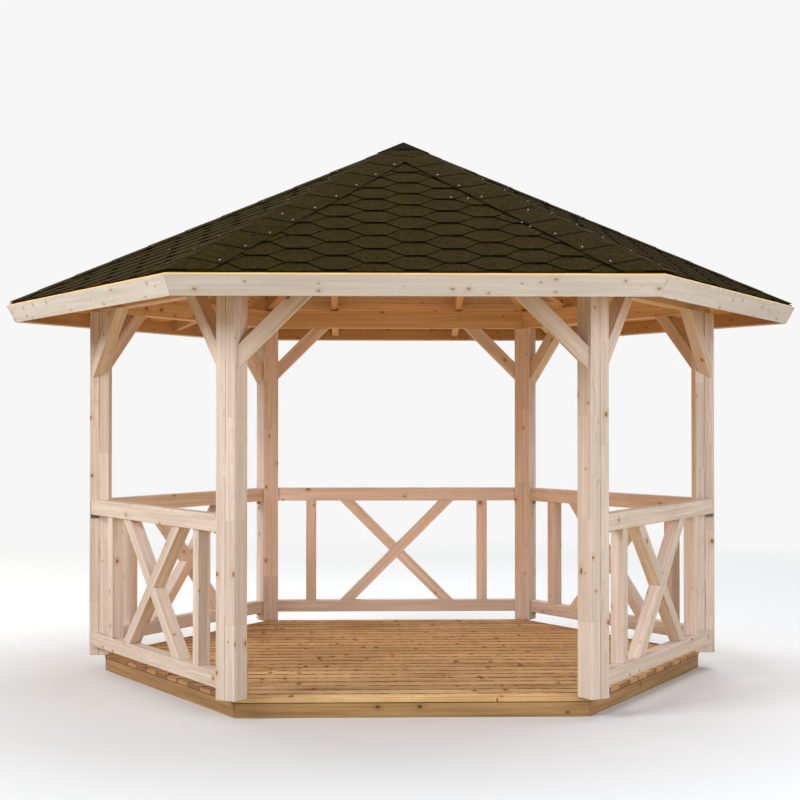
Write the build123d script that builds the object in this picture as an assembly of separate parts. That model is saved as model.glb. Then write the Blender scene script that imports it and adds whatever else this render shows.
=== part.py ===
from build123d import *
from math import cos, radians, sin, sqrt, tan
import os

# Hexagonal garden gazebo: an open timber frame on a low deck, with a shingled roof.
# Millimetres, +Z up. The origin is on the ground under the middle of the deck.
# The entrance bay faces -Y. Two of the six posts stand on the X axis.

# Driving dimensions

bay_width = 1829.0  # between the centres of neighbouring posts, also their distance from the axis
post_side = 115.0
post_length = 2060.0

deck_board_thickness = 22.0
deck_inset = 24.0  # from the line through the post centres to the ends of the deck boards
deck_frame_height = 78.0
deck_rim_width = 45.0
deck_nosing = 3.0  # deck boards stand out past the rim
joist_width = 45.0
joist_spacing = 450.0

beam_height = 120.0
beam_thickness = 85.0

brace_depth = 84.0
brace_thickness = 70.0
brace_reach = 432.0  # from the post centre to the far edge of the brace under the beam

rail_thickness = 80.0
top_rail_height = 90.0
bottom_rail_height = 80.0
railing_height = 930.0  # top of the top rail above the deck
railing_clearance = 57.0  # below the bottom rail
baluster_side = 70.0
baluster_offset = 605.0  # from the middle of the panel to the middle of a baluster
cross_bar_side = 70.0

eave_overhang = 495.0  # from the line through the post centres to the outer top edge of the fascia
roof_pitch = 25.28  # degrees
roof_board_thickness = 18.0
rafter_width = 45.0
rafter_depth = 120.0
rafter_tail_depth = 60.0
birdsmouth_depth = 22.0
jack_rafter_offset = 440.0  # from the middle of a slope
hub_width = 140.0  # across the flats of the centre post that the hip rafters meet at
hub_height = 210.0
fascia_width = 112.0
fascia_thickness = 18.0

shingle_thickness = 6.0
shingle_setback = 12.0  # the lowest shingles stop short of the outer edge of the fascia
hip_cap_width = 190.0  # on each side of a hip
hip_cap_thickness = 6.0
apex_cap_reach = 138.0
apex_cap_thickness = 6.0

# Derived sizes

bays = 6
turn = 360.0 / bays
half_turn = turn / 2
apothem_ratio = cos(radians(half_turn))
post_line = bay_width * apothem_ratio  # from the axis to the line through two post centres
half_bay = bay_width / 2
entrance_angle = -90.0
deck_top = deck_frame_height + deck_board_thickness
deck_reach = post_line - deck_inset
rim_outer_reach = deck_reach - deck_nosing
rim_inner_reach = rim_outer_reach - deck_rim_width
beam_bottom = deck_top + post_length
beam_top = beam_bottom + beam_height
eave_reach = post_line + eave_overhang
shingle_reach = eave_reach - shingle_setback
pitch = radians(roof_pitch)
slope = tan(pitch)
rail_line = post_line + post_side / 4  # so that the rails meet the middle of a post face
brace_line = rail_line  # the knee braces stand in the plane of the rails
infill_line = rail_line - (rail_thickness - baluster_side) / 2  # flush with the inner faces of the rails
big = 4 * eave_reach  # larger than the whole gazebo, for cutting

# The roof is set by its rafters, which sit on the ring beam with their bird's mouths.
# Heights are of the plane of each layer at the outer face of the ring beam.
beam_outer = post_line + beam_thickness / 2
rafter_bottom_at_beam = beam_top - birdsmouth_depth
board_top_at_beam = rafter_bottom_at_beam + (rafter_depth + roof_board_thickness) / cos(pitch)


def roof_height(outward, above_boards=0.0):
    """Height of the plane that lies above_boards over the roof boards, at a distance from the axis."""
    return board_top_at_beam + (beam_outer - outward) * slope + above_boards / cos(pitch)


# Helpers. Each piece is made for the entrance bay or for a post on the X axis, then turned.
# In a bay, x runs along it and y = -outward.


def turned(shape, angle):
    return Rot(0, 0, angle) * shape


def half_space(point, normal):
    """The block on the side of a plane that its normal points to."""
    plane = Plane(origin=point, z_dir=normal)
    return plane * Box(big, big, big, align=(Align.CENTER, Align.CENTER, Align.MIN))


def bar_in_section(points, low, high):
    """A prism from an outline in (outward, height), running along the bay from low to high."""
    outline = Polyline(*[(low, -outward, height) for outward, height in points], close=True)
    return extrude(make_face(outline), amount=high - low, dir=(1, 0, 0))


def bar_in_plan(points, bottom, top):
    """A prism from an outline in (along, outward), standing from bottom to top."""
    outline = Polyline(*[(along, -outward, bottom) for along, outward in points], close=True)
    return extrude(make_face(outline), amount=top - bottom, dir=(0, 0, 1))


def bar_in_bay(points, inner, outer):
    """A prism from an outline in (along, height), as thick as from inner to outer."""
    outline = Polyline(*[(along, -inner, height) for along, height in points], close=True)
    return extrude(make_face(outline), amount=outer - inner, dir=(0, -1, 0))


def mitred_bar(inner, outer, bottom, top):
    ratio = tan(radians(half_turn))
    points = [(-inner * ratio, inner), (inner * ratio, inner), (outer * ratio, outer), (-outer * ratio, outer)]
    return bar_in_plan(points, bottom, top)


def post_face_normal(side):
    """Of the post face that looks into the entrance bay, on the right (1) or on the left (-1)."""
    angle = radians(half_turn)
    return (-side * cos(angle), -sin(angle), 0)


def cut_at_posts(shape):
    """Ends a bar on the faces of the two posts of the entrance bay."""
    for side in (-1, 1):
        nx, ny, nz = post_face_normal(side)
        point = (side * half_bay + nx * post_side / 2, -post_line + ny * post_side / 2, 0)
        shape = shape - half_space(point, (-nx, -ny, 0))
    return shape


def cut_at_hips(shape, clearance=0.0):
    """Ends a piece of the entrance slope on the vertical planes through its two hips."""
    for side in (-1, 1):
        angle = radians(half_turn)
        normal = (side * cos(angle), sin(angle), 0)
        point = (-normal[0] * clearance, -normal[1] * clearance, 0)
        shape = shape - half_space(point, normal)
    return shape


# Posts


def post():
    column = Box(post_side, post_side, post_length, align=(Align.CENTER, Align.CENTER, Align.MIN))
    return Pos(bay_width, 0, deck_top) * column


# Deck


def hexagon_plate(reach, bottom, top):
    face = RegularPolygon(radius=reach, side_count=bays, major_radius=False, rotation=0)
    return extrude(Pos(0, 0, bottom) * face, amount=top - bottom)


def deck_floor():
    return hexagon_plate(deck_reach, deck_frame_height, deck_top)


def deck_rim():
    outer = hexagon_plate(rim_outer_reach, 0, deck_frame_height)
    return outer - hexagon_plate(rim_inner_reach, 0, deck_frame_height)


def deck_joists():
    """Square to the deck boards, from rim to rim, one of them in the middle."""
    inside = hexagon_plate(rim_inner_reach, 0, deck_frame_height)
    steps = int(rim_inner_reach / apothem_ratio / joist_spacing)
    joists = []
    for step in range(-steps, steps + 1):
        joist = Box(joist_width, big, deck_frame_height, align=(Align.CENTER, Align.CENTER, Align.MIN))
        joists.append(Pos(step * joist_spacing, 0, 0) * joist & inside)
    return Compound(joists)


# Ring beam and knee braces


def ring_beam():
    return mitred_bar(post_line - beam_thickness / 2, beam_outer, beam_bottom, beam_top)


def knee_brace(side):
    """A bar at 45 degrees from the face of a post up to the underside of the ring beam."""
    wide = brace_depth * sqrt(2)
    toe = half_bay - brace_reach
    run = brace_reach + post_side
    points = [
        (side * toe, beam_bottom),
        (side * (toe + wide), beam_bottom),
        (side * (toe + wide + run), beam_bottom - run),
        (side * (toe + run), beam_bottom - run),
    ]
    inner = brace_line - brace_thickness / 2
    return cut_at_posts(bar_in_bay(points, inner, inner + brace_thickness))


def knee_braces():
    return Compound([knee_brace(side) for side in (-1, 1)])


# Railing panel


def upright_in_bay(along, line, width, thickness, bottom, top):
    """A box in the bay: its middle is at a distance along the bay and on a line at a distance from the axis."""
    box = Box(width, thickness, top - bottom, align=(Align.CENTER, Align.CENTER, Align.MIN))
    return Pos(along, -line, bottom) * box


def rail(bottom, height):
    return cut_at_posts(upright_in_bay(0, rail_line, 2 * bay_width, rail_thickness, bottom, bottom + height))


def railing():
    """Two rails between the posts, with a baluster near each end and a cross between the balusters."""
    low = deck_top + railing_clearance
    opening_bottom = low + bottom_rail_height
    opening_top = deck_top + railing_height - top_rail_height
    panel = rail(low, bottom_rail_height) + rail(opening_top, top_rail_height)
    half_rise = (opening_top - opening_bottom) / 2
    half_wide = cross_bar_side / sqrt(2)
    cross_inner = infill_line - cross_bar_side / 2
    for side in (-1, 1):
        middle = side * baluster_offset
        panel = panel + upright_in_bay(
            middle, infill_line, baluster_side, baluster_side, opening_bottom, opening_top
        )
        points = [
            (side * (half_rise - half_wide), opening_top),
            (side * (half_rise + half_wide), opening_top),
            (side * (half_wide - half_rise), opening_bottom),
            (side * (-half_wide - half_rise), opening_bottom),
        ]
        panel = panel + bar_in_bay(points, cross_inner, cross_inner + cross_bar_side)
    return panel


# Roof frame


def rafter_section(ratio):
    """Outline of a rafter in (outward, height), too deep on top; ratio is 1 square to an eave, less on a hip."""
    heel = beam_outer / ratio
    tail = eave_reach / ratio
    fall = slope * ratio
    seat = birdsmouth_depth / fall
    peak = roof_height(0, -roof_board_thickness)
    above = rafter_depth
    return [
        (0, peak + above),
        (0, rafter_bottom_at_beam + heel * fall),
        (heel - seat, beam_top),
        (heel, beam_top),
        (heel, rafter_bottom_at_beam),
        (tail, peak - tail * fall - rafter_tail_depth / cos(pitch)),
        (tail, peak - tail * fall + above),
    ]


def under_boards(shape, directions):
    """Takes off what stands above the underside of the roof boards of the slopes that face these ways."""
    for angle in directions:
        outward = (cos(radians(angle)), sin(radians(angle)))
        normal = (sin(pitch) * outward[0], sin(pitch) * outward[1], cos(pitch))
        shape = shape - half_space((0, 0, roof_height(0, -roof_board_thickness)), normal)
    return shape


def fascia_back(shape, directions):
    """Takes off what stands past the inner faces of the fascia boards that face these ways."""
    for angle in directions:
        outward = (cos(radians(angle)), sin(radians(angle)))
        normal = (cos(pitch) * outward[0], cos(pitch) * outward[1], -sin(pitch))
        edge = (eave_reach * outward[0], eave_reach * outward[1], roof_height(eave_reach))
        point = [edge[axis] - normal[axis] * fascia_thickness for axis in range(3)]
        shape = shape - half_space(point, normal)
    return shape


def roof_hub():
    """The centre post under the peak, six sided, with a face to each hip rafter."""
    face = RegularPolygon(radius=hub_width / 2, side_count=bays, major_radius=False, rotation=half_turn)
    top = roof_height(0, -roof_board_thickness)
    body = extrude(Pos(0, 0, top - hub_height) * face, amount=hub_height)
    return under_boards(body, [half_turn + turn * step for step in range(bays)])


def hip_rafter():
    """Over the post on the +X axis: its top follows both slopes, its foot sits on the mitre of the beams."""
    points = rafter_section(apothem_ratio)
    outline = Polyline(*[(outward, -rafter_width / 2, height) for outward, height in points], close=True)
    rafter = extrude(make_face(outline), amount=rafter_width, dir=(0, 1, 0))
    rafter = rafter - half_space((hub_width / 2, 0, 0), (-1, 0, 0))
    sides = [-half_turn, half_turn]
    for angle in sides:
        rafter = rafter - turned(ring_beam(), angle - entrance_angle)
    return fascia_back(under_boards(rafter, sides), sides)


def jack_rafter(side):
    """In the entrance slope, cut off where it meets the side of a hip rafter."""
    points = rafter_section(1)
    middle = side * jack_rafter_offset
    rafter = bar_in_section(points, middle - rafter_width / 2, middle + rafter_width / 2)
    rafter = cut_at_hips(rafter, rafter_width / 2)
    return fascia_back(under_boards(rafter, [entrance_angle]), [entrance_angle])


def hip_rafters():
    return Compound([turned(hip_rafter(), turn * step) for step in range(bays)])


def jack_rafters():
    rafters = []
    for step in range(bays):
        rafters += [turned(jack_rafter(side), turn * step) for side in (-1, 1)]
    return Compound(rafters)


# Roof covering


def slab(reach, above, thickness):
    """A layer of the entrance slope from the peak to a reach, square to the slope at its lower edge."""
    out = sin(pitch) * thickness
    up = cos(pitch) * thickness
    start = -hub_width  # past the axis, so that the cuts at the hips shape the peak
    points = [
        (start, roof_height(start, above)),
        (reach, roof_height(reach, above)),
        (reach + out, roof_height(reach, above) + up),
        (start + out, roof_height(start, above) + up),
    ]
    return cut_at_hips(bar_in_section(points, -eave_reach, eave_reach))


def roof_boards():
    return fascia_back(slab(eave_reach, -roof_board_thickness, roof_board_thickness), [entrance_angle])


def fascia():
    """A board square to the slope, its top edge level with the roof boards, mitred at the hips."""
    top = roof_height(eave_reach)
    along = (cos(pitch) * fascia_thickness, -sin(pitch) * fascia_thickness)
    down = (-sin(pitch) * fascia_width, -cos(pitch) * fascia_width)
    points = [
        (eave_reach, top),
        (eave_reach - along[0], top - along[1]),
        (eave_reach - along[0] + down[0], top - along[1] + down[1]),
        (eave_reach + down[0], top + down[1]),
    ]
    return cut_at_hips(bar_in_section(points, -eave_reach, eave_reach))


def all_round(shape):
    pieces = [turned(shape, turn * step) for step in range(bays)]
    whole = pieces[0]
    for piece in pieces[1:]:
        whole = whole + piece
    return whole


def shingles():
    return all_round(slab(shingle_reach, 0, shingle_thickness))


def hip_caps():
    """Strips of shingle folded over the hips, one on each side of every hip."""
    layer = slab(shingle_reach, shingle_thickness, hip_cap_thickness)
    lean = sqrt(1 - (sin(pitch) * sin(radians(half_turn))) ** 2)
    field = cut_at_hips(layer, hip_cap_width * lean)
    return all_round(layer - field)


def apex_cap():
    above = shingle_thickness + hip_cap_thickness
    return all_round(slab(apex_cap_reach, above, apex_cap_thickness))


# Export

os.makedirs("parts", exist_ok=True)

bay_names = ["front", "front_right", "back_right", "back", "back_left", "front_left"]
post_names = ["right", "back_right", "back_left", "left", "front_left", "front_right"]

export_step(deck_rim(), "parts/deck_rim.step")
export_step(deck_joists(), "parts/deck_joists.step")
export_step(deck_floor(), "parts/deck_floor.step")
export_step(roof_hub(), "parts/roof_hub.step")
export_step(hip_rafters(), "parts/hip_rafters.step")
export_step(jack_rafters(), "parts/jack_rafters.step")
export_step(shingles(), "parts/shingles.step")
export_step(hip_caps(), "parts/hip_caps.step")
export_step(apex_cap(), "parts/apex_cap.step")

for step, name in enumerate(post_names):
    export_step(turned(post(), turn * step), f"parts/post_{name}.step")

for step, name in enumerate(bay_names):
    export_step(turned(ring_beam(), turn * step), f"parts/ring_beam_{name}.step")
    export_step(turned(knee_braces(), turn * step), f"parts/knee_braces_{name}.step")
    export_step(turned(roof_boards(), turn * step), f"parts/roof_boards_{name}.step")
    export_step(turned(fascia(), turn * step), f"parts/fascia_{name}.step")
    if name != "front":
        export_step(turned(railing(), turn * step), f"parts/railing_{name}.step")
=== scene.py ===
"""Looks of a six-sided timber garden gazebo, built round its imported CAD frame.

Metres, +Z up, the origin on the ground under the middle of the deck, the entrance towards -Y.
A piece is shaped where it stands in the entrance bay, or at the post on the X axis, and its
copies are turned round the middle in steps of 60 degrees.
"""

import random
from math import atan, cos, pi, radians, sin, sqrt, tan

import bpy
import numpy as np
from mathutils import Matrix, Vector


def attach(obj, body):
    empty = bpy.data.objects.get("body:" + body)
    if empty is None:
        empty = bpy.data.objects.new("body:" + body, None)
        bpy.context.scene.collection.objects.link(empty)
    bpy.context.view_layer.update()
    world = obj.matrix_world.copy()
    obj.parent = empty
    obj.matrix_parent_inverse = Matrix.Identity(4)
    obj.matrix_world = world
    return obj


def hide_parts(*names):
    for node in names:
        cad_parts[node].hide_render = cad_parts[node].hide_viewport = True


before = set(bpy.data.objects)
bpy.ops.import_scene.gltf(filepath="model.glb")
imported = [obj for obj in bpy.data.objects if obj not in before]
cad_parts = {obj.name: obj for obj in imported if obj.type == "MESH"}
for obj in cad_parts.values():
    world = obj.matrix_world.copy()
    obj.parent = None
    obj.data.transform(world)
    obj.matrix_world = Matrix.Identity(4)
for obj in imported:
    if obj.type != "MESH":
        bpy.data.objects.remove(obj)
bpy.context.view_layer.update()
bpy.ops.object.select_all(action="DESELECT")

# Sizes of the frame

POST_RING = 1.829
POST_LINE = POST_RING * cos(pi / 6)
POST_SIDE = 0.115
DECK_TOP = 0.100
DECK_BOARD = 0.022
DECK_REACH = POST_LINE - 0.024
RIM_REACH = DECK_REACH - 0.003
RIM_WIDTH = 0.045
JOIST_WIDTH = 0.045
JOIST_SPACING = 0.450
POST_TOP = DECK_TOP + 2.060
BEAM_WIDTH = 0.085
BEAM_HEIGHT = 0.120
BEAM_TOP = POST_TOP + BEAM_HEIGHT
BEAM_OUTER = POST_LINE + BEAM_WIDTH / 2
BRACE_DEPTH = 0.084
BRACE_WIDTH = 0.070
BRACE_REACH = 0.432
RAIL_WIDTH = 0.080
TOP_RAIL = 0.090
BOTTOM_RAIL = 0.080
RAILING_TOP = DECK_TOP + 0.930
RAILING_BOTTOM = DECK_TOP + 0.057
INFILL = 0.070
BALUSTER_AT = 0.605
PITCH = radians(25.28)
EAVE_REACH = POST_LINE + 0.495
ROOF_BOARD = 0.018
RAFTER_WIDTH = 0.045
RAFTER_DEPTH = 0.120
RAFTER_TAIL = 0.060
BIRDSMOUTH = 0.022
JACK_AT = 0.440
HUB_WIDTH = 0.140
HUB_HEIGHT = 0.210
FASCIA_WIDTH = 0.112
FASCIA_THICKNESS = 0.018
SHINGLE_SETBACK = 0.018
APEX_CAP_REACH = 0.138

# Sizes of what only the looks have

FINE_ARRIS = 0.002
ARRIS = 0.003
ROUND_ARRIS = 0.004
DECK_BOARDS = 25
BOARD_GAP = 0.004
BOARD_PITCH = (2 * DECK_REACH + BOARD_GAP) / DECK_BOARDS
BOARD_WIDTH = BOARD_PITCH - BOARD_GAP
RIBS = 6
RIB_MARGIN = 0.008
BOARD_ARRIS = 0.004
VALLEY = 0.0018
SCREW_BESIDE = 0.036  # from a deck board's middle
SCREW_SPREAD = 0.006
SCREW_SUNK = 0.0006
ROOF_BOARD_COVER = 0.0958
V_GROOVE = 0.004
TAB_PITCH = 0.386
TAB_FLAT = 0.110
TAB_SLANT = TAB_PITCH / 2 - TAB_FLAT
COURSE = 0.1037
FIRST_COURSE = 0.0365
STARTER_WIDTH = 0.2
STRIP_THICKNESS = 0.004
STRIP_HEIGHT = 0.216
HIP_CAP_WIDTH = 0.190
CAP_LOWEST = 2.612  # along the hip from the peak
CAP_HIGHEST = 0.06
CAP_STEP = 0.2371
CAP_LENGTH = 0.315
CAP_LIFT = 0.0105
CAP_LOWER_LIFT = CAP_LIFT + 0.0028  # of the lower and the upper end of a strip
CAP_UPPER_LIFT = CAP_LIFT - 0.0008
CAP_THICKNESS = 0.003
APEX_CAP_LIFT = 0.0165
NAIL_OFF = 0.156  # from the hip
NAIL_UP = 0.035  # from the lower end of its strip
NAILED = {1: range(1, 10), -1: (1, 2, 3, 6, 7, 8)}  # which strips, on each side of a hip
# post, side of its hip, and the places down the hip and beside it
STRAY_NAILS = [
    ("front_right", -1, 1.080, 0.306), ("front_right", -1, 1.137, 0.232), ("front_right", -1, 1.467, 0.059),
    ("front_right", -1, 1.626, 0.201), ("front_right", -1, 1.701, 0.200), ("front_left", 1, 1.565, 0.056),
    ("front_left", -1, 1.620, 0.690),
]
NAIL_HEIGHT = 0.0016
# left open between pieces that would else share a face
BEAM_MITRE = 0.0004
BOARD_MITRE = 0.0003
STRIP_MITRE = 0.0005
STRIP_CLEAR = 0.0002

BAYS = ["front", "front_right", "back_right", "back", "back_left", "front_left"]
POSTS = ["right", "back_right", "back_left", "left", "front_left", "front_right"]
TURN = radians(60)
HALF_TURN = radians(30)
RAIL_LINE = POST_LINE + POST_SIDE / 4
INFILL_LINE = RAIL_LINE - (RAIL_WIDTH - INFILL) / 2
SLOPE = tan(PITCH)
SLOPE_LENGTH = EAVE_REACH / cos(PITCH)
BOARDS_AT_BEAM = BEAM_TOP - BIRDSMOUTH + (RAFTER_DEPTH + ROOF_BOARD) / cos(PITCH)
HIP_RUN = cos(PITCH) * tan(HALF_TURN)  # half a slope's width for each metre down it from the peak
HIP_FALL = atan(SLOPE * cos(HALF_TURN))

NOWHERE = Vector((0, 0, 0))
X_AXIS = Vector((1, 0, 0))
Y_AXIS = Vector((0, 1, 0))
Z_AXIS = Vector((0, 0, 1))
HIP_DOWN = Vector((cos(HIP_FALL), 0, -sin(HIP_FALL)))
HIP_UP = Vector((sin(HIP_FALL), 0, cos(HIP_FALL)))


def roof_height(outward, above=0.0):
    """Of the plane that lies above the roof boards' top, at a distance from the middle."""
    return BOARDS_AT_BEAM + (BEAM_OUTER - outward) * SLOPE + above / cos(PITCH)


def level(facing):
    """The level direction that many radians from the X axis."""
    return Vector((cos(facing), sin(facing), 0))


def slope_normal(facing):
    """Of the slope that faces this way, in radians from the X axis."""
    return Vector((sin(PITCH) * cos(facing), sin(PITCH) * sin(facing), cos(PITCH)))


def hip_side(side):
    """Out of the entrance bay, square to the plane through its left or right hip."""
    return Vector((side * cos(HALF_TURN), sin(HALF_TURN), 0))


PEAK = Vector((0, 0, roof_height(0)))


# Tools for shaping


def active(piece):
    bpy.ops.object.select_all(action="DESELECT")
    piece.select_set(True)
    bpy.context.view_layer.objects.active = piece
    return piece


def in_edit_mode(piece, *steps):
    """Runs the steps on the whole piece in edit mode."""
    active(piece)
    bpy.ops.object.mode_set(mode="EDIT")
    bpy.ops.mesh.select_mode(type="VERT")
    for step in steps:
        bpy.ops.mesh.select_all(action="SELECT")
        step()
    bpy.ops.object.mode_set(mode="OBJECT")
    return piece


def outward_faces(piece):
    return in_edit_mode(piece, lambda: bpy.ops.mesh.normals_make_consistent(inside=False))


def settled():
    """The shape that was just added, with its place and turn in the mesh itself."""
    bpy.ops.object.transform_apply(location=True, rotation=True, scale=True)
    return bpy.context.object


def axes(along, up):
    """The turn that brings X to along, and Z as near to up as it goes."""
    x = Vector(along).normalized()
    y = Vector(up).cross(x).normalized()
    z = x.cross(y)
    return Matrix((x, y, z)).transposed().to_4x4()


def at(spot, turn=Matrix.Identity(4)):
    return Matrix.Translation(spot) @ turn


def on_face(spot, normal):
    """Brings a flat thing that looks up to a spot, where it looks along the normal."""
    return at(spot, axes(normal.orthogonal(), normal))


def bar(start, end, width, depth, up=Z_AXIS):
    """A straight timber from start to end, its depth measured towards up, with its matrix."""
    start, end = Vector(start), Vector(end)
    size = ((end - start).length, width, depth)
    matrix = at((start + end) / 2, axes(end - start, up))
    bpy.ops.mesh.primitive_cube_add(
        size=1, location=matrix.to_translation(), rotation=matrix.to_euler(), scale=size
    )
    return settled(), matrix


def level_bar(half, outward, height, width, depth):
    """A bar along the entrance bay, as far to the left as to the right."""
    return bar((-half, -outward, height), (half, -outward, height), width, depth)


def plate(corners, push):
    """A flat outline of any number of corners, pushed out to a plate."""
    bpy.ops.mesh.primitive_circle_add(vertices=len(corners), fill_type="NGON")
    piece = bpy.context.object
    for vertex, corner in zip(piece.data.vertices, corners):
        vertex.co = corner
    thicken = {"value": tuple(push)}
    in_edit_mode(piece, lambda: bpy.ops.mesh.extrude_region_move(TRANSFORM_OT_translate=thicken))
    return outward_faces(piece)


def cut(piece, point, away):
    """Cuts off what lies past the point, where away looks, and closes the cut."""
    plane = {"plane_co": tuple(point), "plane_no": tuple(away)}
    return in_edit_mode(piece, lambda: bpy.ops.mesh.bisect(use_fill=True, clear_outer=True, **plane))


def end_at_hips(piece, clearance):
    """Mitres a piece of the entrance bay in the planes through its two hips."""
    for side in (-1, 1):
        away = hip_side(side)
        cut(piece, -away * clearance, away)
    return piece


def set_all(thing, values):
    for name, value in values.items():
        setattr(thing, name, value)


def modify(piece, kind, **values):
    active(piece)
    modifier = piece.modifiers.new(kind.lower(), kind)
    set_all(modifier, values)
    bpy.ops.object.modifier_apply(modifier=modifier.name)
    return piece


def round_edges(piece, width, segments=2):
    return modify(
        piece, "BEVEL", width=width, segments=segments, limit_method="ANGLE",
        angle_limit=radians(25), use_clamp_overlap=True, harden_normals=False,
    )


def place(piece, matrix):
    """Moves the mesh itself, so that the object stays at the origin."""
    piece.data.transform(matrix)
    if matrix.determinant() < 0:
        outward_faces(piece)
    return piece


def shift_values(data, key, length, shift):
    values = np.empty(length * len(data), np.float32)
    data.foreach_get(key, values)
    data.foreach_set(key, values + np.float32(shift))


def copy_of(piece, name, matrix, new_lot=0.0):
    """A copy with its own mesh, moved, and from another lot of timber."""
    made = bpy.data.objects.new(name, piece.data.copy())
    bpy.context.collection.objects.link(made)
    place(made, matrix)
    lots = made.data.attributes.get("lot")
    if lots and new_lot:
        shift_values(lots.data, "value", 1, new_lot)
        shift_values(made.data.uv_layers["timber"].data, "uv", 2, 1.37 * new_lot)
    return made


def turned(step):
    return Matrix.Rotation(TURN * step, 4, "Z")


def six_of(piece, new_lot=0.0):
    """Puts six copies round the middle in the place of the piece."""
    made = [copy_of(piece, "copy", turned(step), new_lot * step) for step in range(6)]
    remove(piece)
    return made


def joined(pieces, name):
    bpy.ops.object.select_all(action="DESELECT")
    for piece in pieces:
        piece.select_set(True)
    bpy.context.view_layer.objects.active = pieces[0]
    if len(pieces) > 1:
        bpy.ops.object.join()
    whole = bpy.context.view_layer.objects.active
    whole.name = name
    whole.data.name = name
    return whole


def remove(piece):
    bpy.data.objects.remove(piece, do_unlink=True)


lot_count = 0


def next_lot():
    global lot_count
    lot_count += 1
    return lot_count * 0.731


def mark(mesh, name, values, on="FACE"):
    mesh.attributes.new(name, "FLOAT", on).data.foreach_set("value", values)


def grain_along(piece, matrix, arris=0.0):
    """Gives a timber its own coordinates, so that its figure runs along it and through it.

    grain is the place inside the timber, lot tells one timber from the next, end_grain and
    worn mark the sawn ends and the rounded edges, and the UV map lays the knots on the sides.
    Faces narrower than the arris are rounded edges.
    """
    mesh = piece.data
    lot = next_lot()
    inside = matrix.inverted()
    count = len(mesh.vertices)
    places = np.empty(3 * count, np.float32)
    mesh.vertices.foreach_get("co", places)
    turn = np.array(inside.to_3x3(), np.float32)
    shift = np.array(inside.to_translation(), np.float32)
    grain = places.reshape(-1, 3) @ turn.T + shift
    mesh.attributes.new("grain", "FLOAT_VECTOR", "POINT").data.foreach_set("vector", grain.ravel())
    mark(mesh, "lot", np.full(count, lot, np.float32), "POINT")
    ends = np.zeros(len(mesh.polygons), np.float32)
    worn = np.zeros(len(mesh.polygons), np.float32)
    knots = mesh.uv_layers.get("timber") or mesh.uv_layers.new(name="timber")
    for face in mesh.polygons:
        normal = turn @ np.array(face.normal, np.float32)
        corners = grain[list(face.vertices)]
        longest = max(np.linalg.norm(corners - np.roll(corners, 1, axis=0), axis=1))
        worn[face.index] = 1.0 if longest > 0 and face.area / longest < arris else 0.0
        ends[face.index] = 1.0 if abs(normal[0]) > 0.5 else 0.0
        # each side of each timber lies on a part of the sheet of its own
        side = 1 if abs(normal[2]) > abs(normal[1]) else 2
        sheet = lot * 3.1 + side * 5.3 + (2.7 if normal[3 - side] < 0 else 0.0)
        for corner, loop in zip(corners, face.loop_indices):
            knots.data[loop].uv = (corner[0] + sheet, corner[side] + sheet * 1.7)
    mark(mesh, "end_grain", ends)
    mark(mesh, "worn", worn)
    for spare in [layer for layer in mesh.uv_layers if layer.name != "timber"]:
        mesh.uv_layers.remove(spare)
    return piece


def timber(made, arris=ARRIS):
    """Finishes a sawn block: rounded edges, then its grain."""
    piece, matrix = made
    return grain_along(round_edges(piece, arris), matrix, 1.5 * arris)


# Materials


def linear(red, green, blue):
    """A colour as it is seen on a screen, 0 to 255, made ready for a shader."""
    def one(value):
        value /= 255
        return value / 12.92 if value <= 0.04045 else ((value + 0.055) / 1.055) ** 2.4
    return (one(red), one(green), one(blue), 1.0)


def sign(operation):
    """What a sign such as + does between two signals."""
    return lambda first, second: first.nodes.math(operation, first, second)


class Signal:
    """What a socket puts out. A sign between two of them adds a math node."""

    def __init__(self, nodes, socket):
        self.nodes = nodes
        self.socket = socket

    __add__ = sign("ADD")
    __sub__ = sign("SUBTRACT")
    __mul__ = sign("MULTIPLY")
    __truediv__ = sign("DIVIDE")
    __pow__ = sign("POWER")

    def __rsub__(self, other):
        return self.nodes.math("SUBTRACT", other, self)

    def __abs__(self):
        return self.nodes.math("ABSOLUTE", self)


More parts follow.
